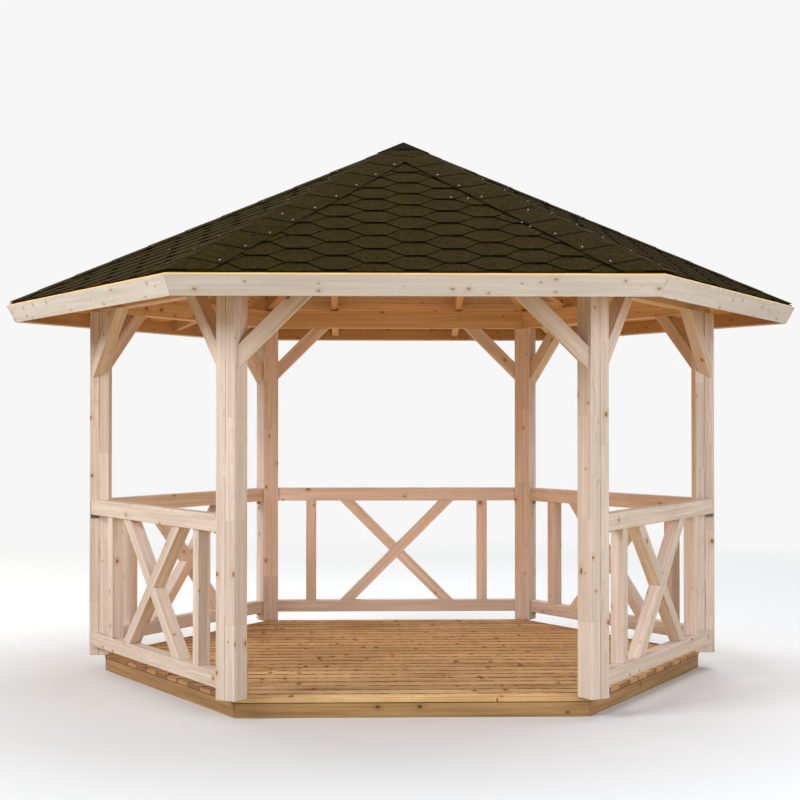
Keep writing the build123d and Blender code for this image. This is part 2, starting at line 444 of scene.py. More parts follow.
class Nodes:
    """Adds nodes to a tree. Inputs are given by name or by number, as values or as signals."""

    def __init__(self, tree):
        self.tree = tree

    def feed(self, node, given):
        for name, value in dict(given).items():
            if isinstance(value, Signal):
                self.tree.links.new(value.socket, node.inputs[name])
            else:
                node.inputs[name].default_value = value

    def add(self, kind, given=(), **settings):
        """Returns the new node's signals by name and by number."""
        node = self.tree.nodes.new(kind)
        set_all(node, settings)
        self.feed(node, given)
        signals = {socket.name: Signal(self, socket) for socket in node.outputs}
        signals.update(enumerate(Signal(self, socket) for socket in node.outputs))
        return signals

    def math(self, operation, *values, clamp=False):
        return self.add("ShaderNodeMath", enumerate(values), operation=operation, use_clamp=clamp)[0]

    def vector(self, operation, *values):
        return self.add("ShaderNodeVectorMath", enumerate(values), operation=operation)[0]

    def join(self, kind, *values):
        """A place (XYZ) or a colour (Color) of three numbers."""
        return self.add("ShaderNodeCombine" + kind, enumerate(values))[0]

    def parts(self, kind, value):
        """The three numbers of a place (XYZ) or a colour (Color)."""
        made = self.add("ShaderNodeSeparate" + kind, {0: value})
        return made[0], made[1], made[2]

    def ramp(self, value, low, high, to_low=0.0, to_high=1.0, smooth=True):
        given = {"Value": value, "From Min": low, "From Max": high,
                 "To Min": to_low, "To Max": to_high}
        kind = "SMOOTHSTEP" if smooth else "LINEAR"
        return self.add("ShaderNodeMapRange", given, interpolation_type=kind)[0]

    def noise(self, vector, scale, detail=2.0, roughness=0.5, stretch=None):
        if stretch:
            vector = self.vector("MULTIPLY", vector, stretch)
        given = {"Vector": vector, "Scale": scale, "Detail": detail, "Roughness": roughness}
        return self.add("ShaderNodeTexNoise", given)[0]

    def luck(self, key):
        """White noise that stays the same for the same key."""
        return self.add("ShaderNodeTexWhiteNoise", {"W": key}, noise_dimensions="1D")

    def mix(self, factor, first, second, blend="MIX"):
        given = {0: factor, 6: first, 7: second}
        return self.add("ShaderNodeMix", given, data_type="RGBA", blend_type=blend)[2]

    def bump(self, height, strength, distance):
        given = {"Height": height, "Strength": strength, "Distance": distance}
        return self.add("ShaderNodeBump", given)[0]

    def place(self):
        """The place in the gazebo's own space."""
        return self.add("ShaderNodeTexCoord")["Object"]

    def grain(self):
        """The place inside the timber."""
        return self.add("ShaderNodeAttribute", attribute_name="grain")["Vector"]

    def number(self, attribute):
        """An attribute of the mesh that is one number."""
        return self.add("ShaderNodeAttribute", attribute_name=attribute)["Fac"]

    def group(self, tree, given=()):
        return self.add("ShaderNodeGroup", given, node_tree=tree)

    def finish_group(self, results):
        for name in results:
            self.tree.interface.new_socket(name, in_out="OUTPUT", socket_type="NodeSocketFloat")
        self.add("NodeGroupOutput", results)
        return self.tree


def new_group(name, inputs):
    """Returns the nodes of a new group, and its inputs, which are numbers."""
    tree = bpy.data.node_groups.new(name, "ShaderNodeTree")
    for socket, value in inputs.items():
        made = tree.interface.new_socket(socket, in_out="INPUT", socket_type="NodeSocketFloat")
        made.default_value = value
    n = Nodes(tree)
    return n, n.add("NodeGroupInput")


def new_material(name, roughness, specular=0.5):
    """Returns a material with its nodes and its shader."""
    material = bpy.data.materials.new(name)
    material.use_nodes = True
    shader = material.node_tree.nodes["Principled BSDF"]
    shader.inputs["Roughness"].default_value = roughness
    shader.inputs["Specular IOR Level"].default_value = specular
    return material, Nodes(material.node_tree), shader


def make_knots():
    """Round and oval knots on the sides of a timber, and the dark rim and the swirl round each."""
    n, given = new_group("knots", {"Per metre": 7.0, "Share": 0.5, "Radius": 0.007, "Narrow": 0.72})
    sheet = n.add("ShaderNodeUVMap", uv_map="timber")[0]
    bent = n.noise(sheet, 9.0, 1.0)
    narrow = n.join("XYZ", given["Narrow"], 1.0, 1.0)
    sown = {"Vector": n.vector("MULTIPLY", sheet, narrow), "Scale": given["Per metre"], "Randomness": 0.9}
    cells = n.add("ShaderNodeTexVoronoi", sown, voronoi_dimensions="2D")
    chance, size = n.parts("Color", cells["Color"])[:2]
    radius = given["Radius"] * (size * 1.25 + 0.28) * (bent * 0.8 + 0.6)
    ratio = cells["Distance"] / given["Per metre"] / radius
    there = n.math("LESS_THAN", chance, given["Share"]) * (1.0 - n.number("end_grain"))
    return n.finish_group({
        "Knot": n.ramp(ratio, 1.1, 0.75) * there,
        "Rim": n.ramp(abs(ratio - 1.0), 0.4, 0.0) * there,
        "Swirl": n.ramp(ratio, 7.0, 1.0) * there,
    })


def make_figure():
    """Year rings round a heart that lies beside the timber, fine fibres, and slow changes of tone."""
    n, given = new_group("figure", {
        "Ring width": 0.005, "Swirl": 0.0, "Wobble": 0.034, "Layers": 0.0, "Piece length": 50.0,
    })
    grain = n.grain()
    lot = n.number("lot")
    along, across, up = n.parts("XYZ", grain)
    # glued timbers are built of layers, and each layer of finger-jointed pieces
    layer = n.math("GREATER_THAN", across, 0.0) * given["Layers"]
    fingers = n.math("PINGPONG", up, 0.0035)
    portion = (along + fingers * 2.2 + layer * 0.37 + lot * 1.9) / given["Piece length"]
    key = n.math("FLOOR", portion) * 3.3 + layer * 0.77 + lot
    red, green, blue = n.parts("Color", n.luck(key)["Color"])
    butt = (0.5 - abs(n.math("FRACT", portion) - 0.5)) * given["Piece length"]
    butt_line = n.ramp(butt, 0.0012, 0.0003)
    glue_line = n.ramp(abs(across), 0.0020, 0.0008)
    opened = n.ramp(n.noise(grain, 1.0, 1.0, stretch=(3.0, 0.0, 0.0)), 0.40, 0.52, 0.35, 1.3)
    joint = n.math("MAXIMUM", butt_line * 0.35, glue_line * opened) * given["Layers"]
    local = n.vector("ADD", grain, n.join("XYZ", blue * 37.0, red, green))
    wander = n.noise(local, 1.6, stretch=(2.0, 4.0, 4.0)) - 0.5
    dy = across - (red * 0.16 - 0.08)
    dz = up - (green * 0.14 + 0.02)
    radius = n.math("SQRT", dy * dy + dz * dz) + wander * given["Wobble"]
    years = (radius + along * 0.020 + given["Swirl"] * 0.014) / given["Ring width"]
    within = n.math("FRACT", years)
    strength = n.luck(n.math("FLOOR", years) + key)["Value"] * 0.7 + 0.3
    return n.finish_group({
        "Rings": within ** 2.5 * n.ramp(within, 1.0, 0.93) * strength,
        "Fibres": n.noise(local, 1.0, 2.0, 0.6, (9.0, 520.0, 520.0)),
        "Tone": n.noise(local, 1.0, stretch=(1.4, 28.0, 28.0)),
        "Streaks": n.noise(local, 1.0, 3.0, 0.6, (1.1, 70.0, 70.0)),
        "Seed": red,
        "Joint": joint,
    })


KNOTS = make_knots()
FIGURE = make_figure()


def wood(name, early, late, knot, end, ring_width, rings, streaks, tone, seed, knots, narrow=0.72,
         layers=0.0, piece_length=50.0, roughness=0.62, wear_and_painted_light=None):
    """A planed timber. The colours are those of the early and late wood, a knot and a sawn end.

    knots are how many cells there are in a metre, the share of them with a knot, and its radius.
    """
    material, n, shader = new_material(name, roughness, 0.35)
    early, late, knot, end = (linear(*colour) for colour in (early, late, knot, end))
    per_metre, share, radius = knots
    spots = n.group(KNOTS, {"Per metre": per_metre, "Share": share, "Radius": radius, "Narrow": narrow})
    figure = n.group(FIGURE, {"Ring width": ring_width, "Swirl": spots["Swirl"],
                              "Layers": layers, "Piece length": piece_length})
    fibres = figure["Fibres"]
    colour = n.mix(figure["Rings"] * rings, early, late)
    dim = n.ramp(figure["Streaks"], 0.35, 0.7, 1.0, 1.0 - streaks)
    dim = dim * n.ramp(figure["Tone"], 0.3, 0.7, 1.0 + tone / 3, 1.0 - tone)
    dim = dim * n.ramp(figure["Seed"], 0.0, 1.0, 1.0 + seed / 3, 1.0 - seed, smooth=False)
    dim = dim * n.ramp(fibres, 0.3, 0.75, 1.03, 0.93)
    colour = n.mix(1.0, colour, n.join("Color", dim, dim ** 1.18, dim ** 1.45), "MULTIPLY")
    colour = n.mix(n.number("end_grain") * 0.55, colour, end)
    colour = n.mix(n.number("worn") * 0.25, colour, early)
    colour = n.mix(n.math("MULTIPLY", figure["Joint"], 0.75, clamp=True), colour, knot)
    colour = n.mix(spots["Swirl"] ** 3.0 * 0.6, colour, late)
    colour = n.mix(spots["Knot"] * 0.85, colour, knot)
    rim = tuple(channel * 0.4 for channel in knot[:3]) + (1.0,)
    colour = n.mix(spots["Rim"] * 0.6, colour, rim)
    # wear, and painted light and shade, that some timbers add to their colour
    if wear_and_painted_light:
        colour = wear_and_painted_light(n, colour)
    height = figure["Rings"] * -0.4 + fibres * 0.5 + figure["Joint"] * -1.0
    n.feed(shader, {
        "Base Color": colour,
        "Roughness": fibres * 0.16 + (roughness - 0.08) - spots["Knot"] * 0.15,
        "Normal": n.bump(height, 0.25, 0.001),
    })
    return material


def weathered_and_painted_shade(n, colour):
    """Deck boards: patches, painted shade in the ribs' valleys, the gaps and the edges beside them, painted
    warm shade towards the back, and some ends darker than others.
    """
    across = abs(n.parts("XYZ", n.grain())[1])
    where = n.place()
    patch = n.noise(where, 1.0, 4.0, 0.6, (1.6, 7.0, 1.0))
    pale = n.mix(n.ramp(patch, 0.45, 0.7, 0.0, 0.6), colour, linear(255, 216, 156))
    colour = n.mix(n.ramp(patch, 0.5, 0.3, 0.0, 0.5), pale, linear(172, 112, 62))
    y = n.parts("XYZ", where)[1]
    # painted warm shade: the boards turn warmer and a little darker towards the back
    colour = n.mix(n.ramp(y, -1.6, 0.8, 0.0, 0.5), colour, linear(255, 234, 188), "MULTIPLY")
    dull = n.ramp(n.math("FRACT", n.number("lot") * 1.93), 0.45, 0.55, 0.0, 0.95)
    sawn = n.mix(dull, linear(196, 144, 98), linear(134, 84, 50))
    end = n.number("end_grain")
    colour = n.mix(end * 0.85, colour, sawn)
    # painted shade in the ribs' valleys, on the gaps' walls and along the boards' edges beside the gaps
    groove = n.number("groove")
    ragged = n.ramp(n.noise(where, 1.0, 3.0, 0.7, (14.0, 3.0, 1.0)), 0.35, 0.6, 0.5, 1.0)
    edge = n.math("DIVIDE", across - (end * 0.007 + 0.046), 0.007, clamp=True) * ragged
    edge = edge * n.math("GREATER_THAN", groove, -0.5)
    return n.mix(n.math("MAXIMUM", groove * 0.72, edge), colour, linear(92, 56, 32))


def top_edge_light_and_shade(depth, painted_colour, reach=0.0012, back=None):
    """Paints a highlight or a shadow, as its colour is light or dark, along the upper arris of a board of
    this depth, and painted warm shade on a fascia's back.
    """
    def painted_edge(n, colour):
        across, up = n.parts("XYZ", n.grain())[1:]
        # painted warm shade on the fascia's back face
        if back:
            inner = n.ramp(across, FASCIA_THICKNESS / 2 - 0.001, FASCIA_THICKNESS / 2 - 0.0002)
            colour = n.mix(inner, colour, linear(*back), "MULTIPLY")
        # the painted highlight or shadow along the upper arris
        arris = n.ramp(up, depth / 2 - reach * 1.75, depth / 2 - reach)
        return n.mix(arris, colour, linear(*painted_colour))
    return painted_edge


SPRUCE = wood(
    "spruce", (234, 216, 204), (204, 163, 122), (138, 88, 54), (206, 172, 136),
    ring_width=0.0057, rings=0.58, streaks=0.16, tone=0.12, seed=0.10, knots=(8.0, 0.42, 0.0056),
)
GLUED_SPRUCE = wood(
    "glued_spruce", (234, 217, 207), (204, 164, 127), (138, 88, 54), (206, 172, 136),
    ring_width=0.0062, rings=0.62, streaks=0.16, tone=0.08, seed=0.05, knots=(8.0, 0.34, 0.0058),
    layers=1.0, piece_length=0.52,
)
# Spruce made warmer and darker for the beams, rafters and hub under the roof: painted warm shade.
ROOF_SPRUCE = wood(
    "roof_spruce", (232, 196, 154), (202, 148, 92), (126, 80, 46), (196, 150, 104),
    ring_width=0.0058, rings=0.6, streaks=0.18, tone=0.14, seed=0.12, knots=(8.0, 0.5, 0.0062),
)
# The fascia: a painted highlight along its upper arris and painted warm shade on its back.
EAVE_SPRUCE = wood(
    "eave_spruce", (222, 212, 206), (194, 168, 142), (156, 120, 94), (206, 176, 142),
    ring_width=0.0060, rings=0.35, streaks=0.10, tone=0.10, seed=0.08, knots=(17.0, 0.36, 0.0038),
    wear_and_painted_light=top_edge_light_and_shade(FASCIA_WIDTH, (250, 198, 116), back=(246, 214, 166)),
)
# Roof boards, warmer and darker than the spruce: partly a darker board, partly painted warm shade of their
# underside.
ROOF_TIMBER = wood(
    "roof_board_timber", (250, 202, 144), (220, 156, 88), (124, 76, 42), (190, 146, 100),
    ring_width=0.0050, rings=0.5, streaks=0.2, tone=0.2, seed=0.25, knots=(9.0, 0.5, 0.007),
)
DECK_TIMBER = wood(
    "deck_timber", (255, 217, 156), (218, 148, 82), (62, 26, 14), (232, 180, 126),
    ring_width=0.0055, rings=0.6, streaks=0.16, tone=0.14, seed=0.36, knots=(9.0, 0.11, 0.0210),
    narrow=2.8, roughness=0.58, wear_and_painted_light=weathered_and_painted_shade,
)
# The deck's timber made darker and duller for the rim and the joists, as painted shade below the boards, with
# a painted shadow along the rim's top under the boards' edge.
RIM_TIMBER = wood(
    "deck_rim_timber", (184, 144, 96), (150, 106, 64), (84, 50, 30), (160, 122, 78),
    ring_width=0.0060, rings=0.5, streaks=0.3, tone=0.25, seed=0.15, knots=(6.0, 0.5, 0.0058),
    wear_and_painted_light=top_edge_light_and_shade(DECK_TOP - DECK_BOARD, (58, 38, 20), 0.0035),
)


def make_grit():
    """Mineral granules pressed into bitumen: specks of several browns with pits between them."""
    n, given = new_group("grit", {"Per metre": 620.0})
    where = n.place()
    grains = n.add("ShaderNodeTexVoronoi", {"Vector": where, "Scale": given["Per metre"]})
    return n.finish_group({
        "Speck": n.parts("Color", grains["Color"])[0],
        "Height": 1.0 - grains["Distance"],
        "Cluster": n.noise(where, 150.0, 1.0),
        "Blotch": n.noise(where, 26.0, 3.0, 0.6),
    })


GRIT = make_grit()


def shade_of_tabs(n):
    """Painted shadow where one row of tabs ends on the next, full below the flats and left slants and faint
    below the right slants. x runs along the eave and y up the slope.
    """
    x, y = n.parts("XYZ", n.grain())[:2]
    flat_end = TAB_FLAT / 2
    nearest = None
    for row in (0, 1):
        shifted = x - row * TAB_PITCH / 2
        beside = n.math("PINGPONG", shifted, TAB_PITCH / 2)
        rise = n.ramp(beside, flat_end, flat_end + TAB_SLANT, 0.0, COURSE, smooth=False)
        below = rise - y + (FIRST_COURSE + row * COURSE + 0.001)
        below = n.math("FRACT", below / (2 * COURSE)) * (2 * COURSE)
        across = (n.math("FRACT", shifted / TAB_PITCH + 0.5) - 0.5) * TAB_PITCH
        if nearest is None:
            nearest, side = below, across
        else:
            side = (side - across) * n.math("LESS_THAN", nearest, below) + across
            nearest = n.math("MINIMUM", nearest, below)
    shade = n.ramp(nearest, 0.014, 0.009) * n.ramp(side, flat_end, flat_end + 0.01, 1.0, 0.25)
    # painted shadow beside the straight edge of the strips folded over the hip on the right
    to_hip = (SLOPE_LENGTH - y) * HIP_RUN - x
    to_hip = to_hip * cos(atan(HIP_RUN)) - HIP_CAP_WIDTH
    return n.math("MAXIMUM", shade, n.ramp(to_hip, 0.014, 0.009) * n.ramp(to_hip, -0.015, -0.010))


def shade_of_laps(n):
    """Painted shadow on a hip strip, just below the edge of the next one; x runs down the hip from its top.
    """
    past = n.parts("XYZ", n.grain())[0] - (CAP_LENGTH - CAP_STEP)
    return n.ramp(past, 0.013, 0.008) * n.ramp(past, -0.012, -0.008)


def bitumen(name, dark, light, contrast=0.8, shade=None):
    material, n, shader = new_material(name, 0.95, 0.02)
    grit = n.group(GRIT)
    tab = n.vector("FLOOR", n.vector("DIVIDE", n.grain(), (TAB_PITCH / 2, COURSE, 1.0)))
    given = {"Vector": tab, "W": n.number("lot")}
    luck = n.add("ShaderNodeTexWhiteNoise", given, noise_dimensions="4D")[0]
    share = grit["Speck"] * contrast + (grit["Blotch"] * 0.9 - 0.45) + (grit["Cluster"] * 2.4 - 1.2)
    colour = n.mix(n.ramp(share, 0.1, 0.95, smooth=False), linear(*dark), linear(*light))
    dim = n.ramp(luck, 0.0, 1.0, 0.9, 1.08, smooth=False)
    colour = n.mix(1.0, colour, n.join("Color", dim, dim, dim), "MULTIPLY")
    # painted shadow, where a shade is given
    if shade:
        colour = n.mix(shade(n) * 0.85, colour, linear(14, 12, 8))
    n.feed(shader, {"Base Color": colour, "Normal": n.bump(grit["Height"], 0.5, 0.0012)})
    return material


SHINGLE = bitumen("bitumen_shingle", (26, 19, 4), (66, 53, 17), shade=shade_of_tabs)
HIP_SHINGLE = bitumen("hip_shingle", (25, 19, 4), (64, 52, 17), shade=shade_of_laps)
CAP = bitumen("dark_cap", (20, 16, 9), (34, 29, 19), 0.6)


def steel(name, dull, bright):
    material, n, shader = new_material(name, 0.45)
    spangle = n.noise(n.place(), 160.0, 3.0, 0.7)
    n.feed(shader, {
        "Base Color": n.mix(n.ramp(spangle, 0.3, 0.7), linear(*dull), linear(*bright)),
        "Roughness": n.ramp(spangle, 0.3, 0.7, 0.42, 0.60),
        "Metallic": 1.0,
    })
    return material


STEEL = steel("zinc_steel", (128, 130, 133), (178, 181, 184))
SCREW_STEEL = steel("dull_steel", (82, 79, 76), (124, 121, 116))


# Finished pieces


def finished(pieces, name, material, slot, *nodes):
    """Joins pieces to one that moves with the gazebo, has a finish and stands for its nodes."""
    piece = joined(pieces, name)
    piece.data.materials.clear()
    piece.data.materials.append(material)
    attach(piece, "root")
    if nodes:
        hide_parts(*nodes)
    return piece


def nail_head(radius=0.0045):
    """A flat round head with a soft rim and the dimple of the hammer. It looks up."""
    bpy.ops.mesh.primitive_cylinder_add(vertices=12, radius=radius, depth=NAIL_HEIGHT)
    head = active(bpy.context.object)
    bpy.ops.object.mode_set(mode="EDIT")
    bpy.ops.mesh.select_mode(type="FACE")
    bpy.ops.mesh.select_all(action="DESELECT")
    bpy.ops.object.mode_set(mode="OBJECT")
    for face in head.data.polygons:
        face.select = face.normal.z > 0.9
    bpy.ops.object.mode_set(mode="EDIT")
    bpy.ops.mesh.inset(thickness=radius * 0.25, depth=0.0007)
    bpy.ops.mesh.inset(thickness=radius * 0.3, depth=-0.0003)
    bpy.ops.object.mode_set(mode="OBJECT")
    return place(head, on_face(NOWHERE, Z_AXIS))


# Deck

RIM_HEIGHT = DECK_TOP - DECK_BOARD
JOISTS = range(-3, 4)


def cut_slanting_edges(piece, reach):
    """Cuts what spans the deck to its four edges beside the front and the back one."""
    for step in (1, 2, 4, 5):
        away = level(-pi / 2 + TURN * step)
        cut(piece, away * reach, away)
    return piece


def mark_grooves(piece, first, last):
    """Marks the faces of a deck board that get painted shade: the ribs' valleys and the gaps' walls.

    The walls of the gaps get the most. The deck's outer sides get -1, which keeps them free of the painted
    shade.
    """
    marks = np.zeros(len(piece.data.polygons), np.float32)
    for face in piece.data.polygons:
        below = DECK_TOP - face.center.z
        along, across, up = face.normal
        if up > 0.5 and 0.0004 < below < 0.006:
            marks[face.index] = 0.45 if below > 0.0015 else 0.22
        if first and across < -0.3 or last and across > 0.3:
            marks[face.index] = -1.0
        elif up < 0.9 and abs(across) > 0.3 and abs(along) < 0.5:
            marks[face.index] = max(marks[face.index], 1.0 if below > 0.001 else 0.7)
    mark(piece.data, "groove", marks)
    return piece


def board_section():
    """Corners of a ribbed board's end, from its middle and its top."""
    half = BOARD_WIDTH / 2
    inset = 0.3 * BOARD_ARRIS
    side = [(half, -DECK_BOARD), (half, -BOARD_ARRIS), (half - inset, -inset), (half - BOARD_ARRIS, 0)]
    rib = (BOARD_WIDTH - 2 * RIB_MARGIN) / RIBS
    corners = list(side)
    edge = half - RIB_MARGIN
    for _ in range(RIBS):
        corners += [(edge - rib * 0.25, 0), (edge - rib * 0.4, -VALLEY),
                    (edge - rib * 0.75, -VALLEY), (edge - rib * 0.9, 0)]
        edge -= rib
    return corners + [(-y, z) for y, z in reversed(side)]


def deck_board(number):
    """A ribbed board along X, with its top in the deck's top."""
    middle = -DECK_REACH + BOARD_WIDTH / 2 + number * BOARD_PITCH
    outline = [(-POST_RING, y, z + DECK_BOARD / 2) for y, z in board_section()]
    piece = plate(outline, (2 * POST_RING, 0, 0))
    matrix = at((0, middle, DECK_TOP - DECK_BOARD / 2))
    cut_slanting_edges(place(piece, matrix), DECK_REACH)
    grain_along(piece, matrix, ARRIS)
    return mark_grooves(piece, number == 0, number == DECK_BOARDS - 1)


def deck_floor():
    boards = [deck_board(number) for number in range(DECK_BOARDS)]
    finished(boards, "deck_floor_boards", DECK_TIMBER, "deck_timber", "deck_floor")


def deck_screws():
    """Two in every board over every joist, as far as that lies well inside the deck."""
    head = nail_head(radius=0.0040)
    margin = 0.03
    screws = []
    for number in range(DECK_BOARDS):
        for beside in (-SCREW_BESIDE, SCREW_BESIDE):
            y = -DECK_REACH + (number + 0.5) * BOARD_PITCH + beside
            reach = DECK_REACH / cos(HALF_TURN) - abs(y) * tan(HALF_TURN) - margin
            for step in JOISTS:
                x = step * JOIST_SPACING + random.uniform(-SCREW_SPREAD, SCREW_SPREAD)
                if abs(x) < reach:
                    screws.append(copy_of(head, "screw", at((x, y, DECK_TOP - SCREW_SUNK))))
    remove(head)
    finished(screws, "deck_screws", SCREW_STEEL, "zinc_steel")


def deck_rim():
    rims = []
    for step in range(6):
        made = level_bar(POST_RING, RIM_REACH - RIM_WIDTH / 2, RIM_HEIGHT / 2, RIM_WIDTH, RIM_HEIGHT)
        end_at_hips(made[0], BEAM_MITRE)
        rims.append(place(timber(made, FINE_ARRIS), turned(step)))
    finished(rims, "deck_rim_boards", RIM_TIMBER, "deck_timber", "deck_rim")


def deck_joists():
    joists = []
    inner = RIM_REACH - RIM_WIDTH
    middle = RIM_HEIGHT / 2
    for step in JOISTS:
        x = step * JOIST_SPACING
        made = bar((x, -inner, middle), (x, inner, middle), JOIST_WIDTH, RIM_HEIGHT)
        cut_slanting_edges(made[0], inner)
        joists.append(timber(made, FINE_ARRIS))
    finished(joists, "deck_joist_bars", RIM_TIMBER, "deck_timber", "deck_joists")


# Timber frame


def post_face(side):
    """A point on the face that a post of the entrance bay turns to the bay, on the posts' line."""
    return Vector((side * POST_RING / 2, -POST_LINE, 0)) - hip_side(side) * (POST_SIDE / 2)


def end_at_posts(piece):
    """Ends a bar of the entrance bay on the faces of its two posts."""
    for side in (-1, 1):
        cut(piece, post_face(side), hip_side(side))
    return piece


def all_round(piece, names, prefix, material, slot, node, skip=(), mirrored=()):
    """Copies a piece to the other bays or posts and lets each copy stand for its node."""
    for step, name in enumerate(names):
        if name in skip:
            continue
        flip = Matrix.Scale(-1 if name in mirrored else 1, 4, X_AXIS)
        called = f"{prefix}_{name}"
        made = copy_of(piece, called, turned(step) @ flip, 5.0 * step)
        finished([made], called, material, slot, f"{node}_{name}")
    remove(piece)


def posts():
    """The glue line shows on the radial faces of the front posts and on the others of the rest."""
    foot, top = (POST_RING, 0, DECK_TOP), (POST_RING, 0, POST_TOP)
    for up, others in ((X_AXIS, POSTS[:4]), (Y_AXIS, POSTS[4:])):
        made = timber(bar(foot, top, POST_SIDE, POST_SIDE, up), ROUND_ARRIS)
        all_round(made, POSTS, "glued_post", GLUED_SPRUCE, "spruce", "post", skip=others)


def ring_beams():
    made = level_bar(POST_RING, POST_LINE, POST_TOP + BEAM_HEIGHT / 2, BEAM_WIDTH, BEAM_HEIGHT)
    end_at_hips(made[0], BEAM_MITRE)
    all_round(timber(made), BAYS, "beam_timber", ROOF_SPRUCE, "spruce", "ring_beam")


def knee_braces():
    """They stand in the plane of the rails."""
    sides = []
    toe = POST_RING / 2 - BRACE_REACH + BRACE_DEPTH / sqrt(2)
    long = (BRACE_REACH + POST_SIDE) * sqrt(2)
    spare = 0.2
    for side in (-1, 1):
        high = Vector((side * toe, -RAIL_LINE, POST_TOP))
        down = Vector((side, 0, -1)).normalized()
        up = Vector((side, 0, 1)).normalized()
        made = bar(high - down * spare, high + down * long, BRACE_WIDTH, BRACE_DEPTH, up)
        cut(made[0], (0, 0, POST_TOP), Z_AXIS)
        end_at_posts(made[0])
        sides.append(timber(made))
    all_round(joined(sides, "braces"), BAYS, "brace_pair", SPRUCE, "spruce", "knee_braces")


def rails():
    """The top and the bottom rail of the entrance bay, from which the others are turned."""
    made = []
    top = RAILING_TOP - TOP_RAIL / 2
    bottom = RAILING_BOTTOM + BOTTOM_RAIL / 2
    for middle, depth in ((top, TOP_RAIL), (bottom, BOTTOM_RAIL)):
        rail = level_bar(POST_RING, RAIL_LINE, middle, RAIL_WIDTH, depth)
        end_at_posts(rail[0])
        made.append(timber(rail, ROUND_ARRIS))
    return made


def balusters(low, high):
    made = []
    for x in (-BALUSTER_AT, BALUSTER_AT):
        made.append(timber(bar((x, -INFILL_LINE, low), (x, -INFILL_LINE, high), INFILL, INFILL, Y_AXIS)))
    return made


def cross(low, high):
    """One bar is whole, and the two halves of the other end on it."""
    made = []
    middle = Vector((0, -INFILL_LINE, (low + high) / 2))
    reach = (high - low) / sqrt(2) + INFILL
    for side, halves in ((1, (None,)), (-1, (-1, 1))):
        run = Vector((side, 0, 1)).normalized()
        up = Vector((-side, 0, 1)).normalized()
        for half in halves:
            piece, matrix = bar(middle - run * reach, middle + run * reach, INFILL, INFILL, up)
            cut(piece, (0, 0, high), Z_AXIS)
            cut(piece, (0, 0, low), -Z_AXIS)
            if half:
                cut(piece, middle + run * half * INFILL / 2, -run * half)
            made.append(timber((piece, matrix)))
    return made


def railing():
    low = RAILING_BOTTOM + BOTTOM_RAIL
    high = RAILING_TOP - TOP_RAIL
    panel = joined(rails() + balusters(low, high) + cross(low, high), "panel")
    all_round(panel, BAYS, "railing_timbers", SPRUCE, "spruce", "railing", ("front",), ("back",))


# Roof frame


def rafter_outline(ratio, sideways, start=0.0):
    """Corners of a rafter's side; ratio is 1 square to an eave and less along a hip."""
    heel = BEAM_OUTER / ratio
    tail = EAVE_REACH / ratio
    fall = SLOPE * ratio
    peak = roof_height(0, -ROOF_BOARD)
    foot = BEAM_TOP - BIRDSMOUTH
    corners = [
        (start, peak + RAFTER_DEPTH),
        (start, foot + (heel - start) * fall),
        (heel - BIRDSMOUTH / fall, BEAM_TOP),
        (heel, BEAM_TOP),
        (heel, foot),
        (tail, peak - tail * fall - RAFTER_TAIL / cos(PITCH)),
        (tail, peak - tail * fall + RAFTER_DEPTH),
    ]
    return [sideways(outward, height) for outward, height in corners]


def under_the_boards(piece, ways):
    """Cuts a rafter to the underside of the boards and, square to it, to the fascia's back."""
    for facing in ways:
        cut(piece, (0, 0, roof_height(0, -ROOF_BOARD)), slope_normal(facing))
        square = Vector((cos(PITCH) * cos(facing), cos(PITCH) * sin(facing), -sin(PITCH)))
        edge = Vector((EAVE_REACH * cos(facing), EAVE_REACH * sin(facing), roof_height(EAVE_REACH)))
        cut(piece, edge - square * FASCIA_THICKNESS, square)
    return piece


def roof_timber(piece, heart, turn):
    """Finishes a rafter or the hub. Its grain runs through its heart."""
    return grain_along(round_edges(piece, FINE_ARRIS), at(heart, turn), 2 * FINE_ARRIS)


def hip_rafters():
    half = RAFTER_WIDTH / 2
    outline = rafter_outline(cos(HALF_TURN), lambda outward, height: (outward, -half, height), HUB_WIDTH / 2)
    hip = plate(outline, (0, RAFTER_WIDTH, 0))
    under_the_boards(hip, (-HALF_TURN, HALF_TURN))
    heart = (POST_RING / 2, 0, roof_height(POST_LINE / 2, -0.1))
    roof_timber(hip, heart, Matrix.Rotation(HIP_FALL, 4, "Y"))
    finished(six_of(hip, 5.0), "hip_rafter_timbers", ROOF_SPRUCE, "spruce", "hip_rafters")


def jack_rafters():
    half = RAFTER_WIDTH / 2
    jacks = []
    for side in (-1, 1):
        x = side * JACK_AT - half
        jack = plate(rafter_outline(1.0, lambda outward, height: (x, -outward, height)), (RAFTER_WIDTH, 0, 0))
        under_the_boards(jack, (-pi / 2,))
        end_at_hips(jack, half)
        outward = POST_LINE * 0.8
        heart = (side * JACK_AT, -outward, roof_height(outward, -0.08))
        roof_timber(jack, heart, axes((0, -cos(PITCH), -sin(PITCH)), Z_AXIS))
        jacks += six_of(jack, 5.0)
    finished(jacks, "jack_rafter_timbers", ROOF_SPRUCE, "spruce", "jack_rafters")


